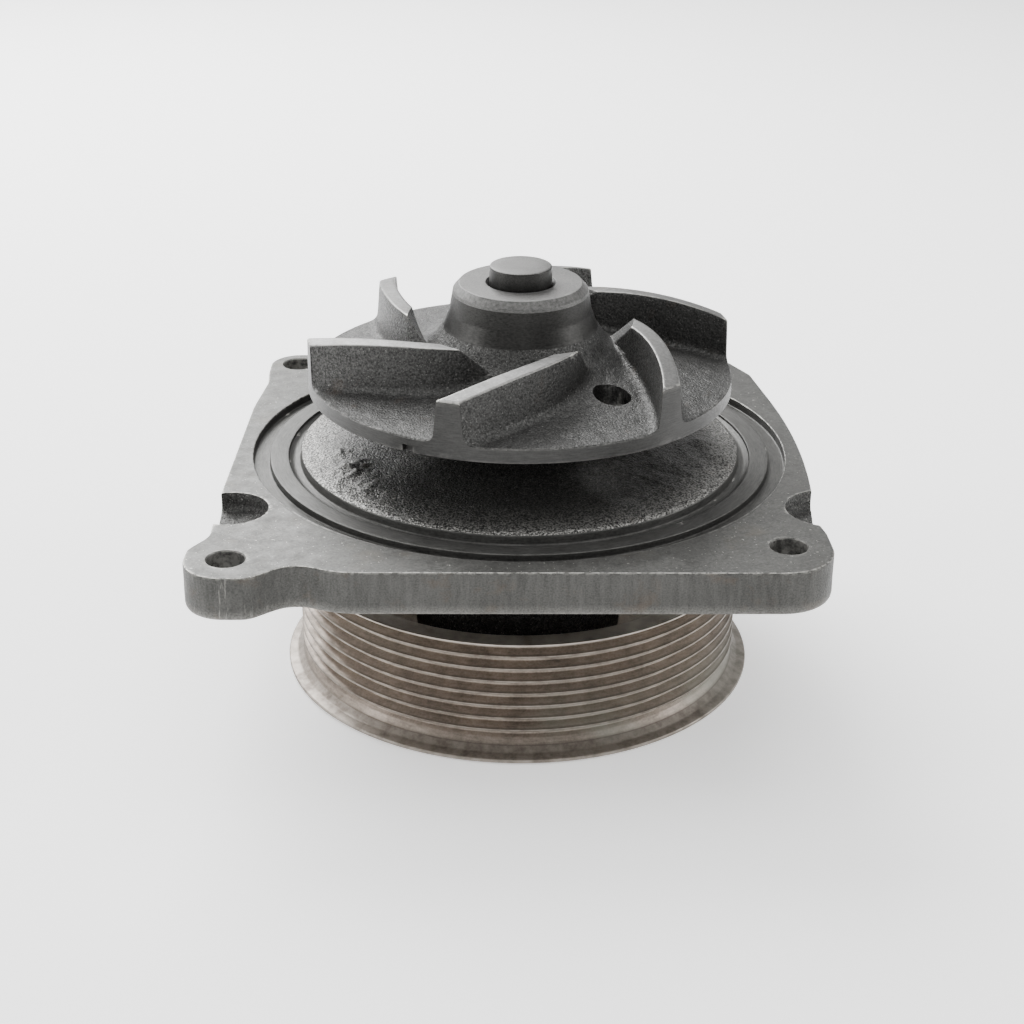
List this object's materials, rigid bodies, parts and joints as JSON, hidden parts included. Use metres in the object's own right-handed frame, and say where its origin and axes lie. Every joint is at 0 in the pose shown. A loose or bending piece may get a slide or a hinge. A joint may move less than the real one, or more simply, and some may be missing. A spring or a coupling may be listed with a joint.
{
  "type": "water pump",
  "caption": "Engine coolant pump: cast flange housing, open impeller with curved vanes, face seal, ball bearings and a ribbed belt pulley on one shaft.",
  "frame": {"origin": "centre of the shaft's end face at the pulley side, on the shaft's axis, in the plane of the pulley's lower rim that the pump stands on", "axes": "+Z along the shaft's axis, from the pulley to the impeller; +X to the right and +Y to the back, seen from the side of the plate with the protruding left ear"},
  "size_m": [0.1589, 0.1576, 0.1133],
  "materials": {
    "cast_iron": "dark machined and as-cast grey iron",
    "impeller_iron": "grey cast iron with machined tops",
    "pulley_steel": "turned steel with a brown-grey patina",
    "shaft_steel": "ground steel",
    "bearing_steel": "polished bearing steel",
    "cage_steel": "pressed steel",
    "shield_rubber": "matte black",
    "spring_steel": "satin",
    "seal_brass": "drawn brass",
    "seal_rubber": "matte black",
    "carbon": "lapped carbon, dull black",
    "seat_ceramic": "lapped ceramic"
  },
  "bodies": {
    "housing": {"bearing_circlip": "spring_steel", "carbon_face_ring": "carbon", "housing": "cast_iron", "lower_bearing_bottom_shield": "shield_rubber", "lower_bearing_outer_ring": "bearing_steel", "lower_bearing_top_shield": "shield_rubber", "seal_bellows": "seal_rubber", "seal_cup": "seal_brass", "seal_spring": "spring_steel", "upper_bearing_bottom_shield": "shield_rubber", "upper_bearing_outer_ring": "bearing_steel", "upper_bearing_top_shield": "shield_rubber"},
    "rotor": {"shaft": "shaft_steel", "impeller": "impeller_iron", "pulley": "pulley_steel", "lower_bearing_inner_ring": "bearing_steel", "upper_bearing_inner_ring": "bearing_steel", "inner_ring_spacer": "shaft_steel", "slinger": "shaft_steel", "seat_ring": "seat_ceramic", "seat_boot": "seal_rubber"},
    "lower_cage": {"lower_bearing_cage": "cage_steel", "lower_bearing_ball_1": "bearing_steel", "lower_bearing_ball_2": "bearing_steel", "lower_bearing_ball_3": "bearing_steel", "lower_bearing_ball_4": "bearing_steel", "lower_bearing_ball_5": "bearing_steel", "lower_bearing_ball_6": "bearing_steel", "lower_bearing_ball_7": "bearing_steel", "lower_bearing_ball_8": "bearing_steel"},
    "upper_cage": {"upper_bearing_cage": "cage_steel", "upper_bearing_ball_1": "bearing_steel", "upper_bearing_ball_2": "bearing_steel", "upper_bearing_ball_3": "bearing_steel", "upper_bearing_ball_4": "bearing_steel", "upper_bearing_ball_5": "bearing_steel", "upper_bearing_ball_6": "bearing_steel", "upper_bearing_ball_7": "bearing_steel", "upper_bearing_ball_8": "bearing_steel"}
  },
  "joints": [
    {"name": "shaft_spin", "type": "hinge", "parent": "housing", "child": "rotor", "pos_m": [0, 0, 0.05], "axis": [0, 0, 1], "continuous": true},
    {"name": "lower_cage_spin", "type": "hinge", "parent": "housing", "child": "lower_cage", "pos_m": [0, 0, 0.019], "axis": [0, 0, 1], "continuous": true},
    {"name": "upper_cage_spin", "type": "hinge", "parent": "housing", "child": "upper_cage", "pos_m": [0, 0, 0.038], "axis": [0, 0, 1], "continuous": true}
  ],
  "couplings": [
    {"joint": "lower_cage_spin", "follows": "shaft_spin", "ratio": 0.3815},
    {"joint": "upper_cage_spin", "follows": "shaft_spin", "ratio": 0.3815}
  ]
}
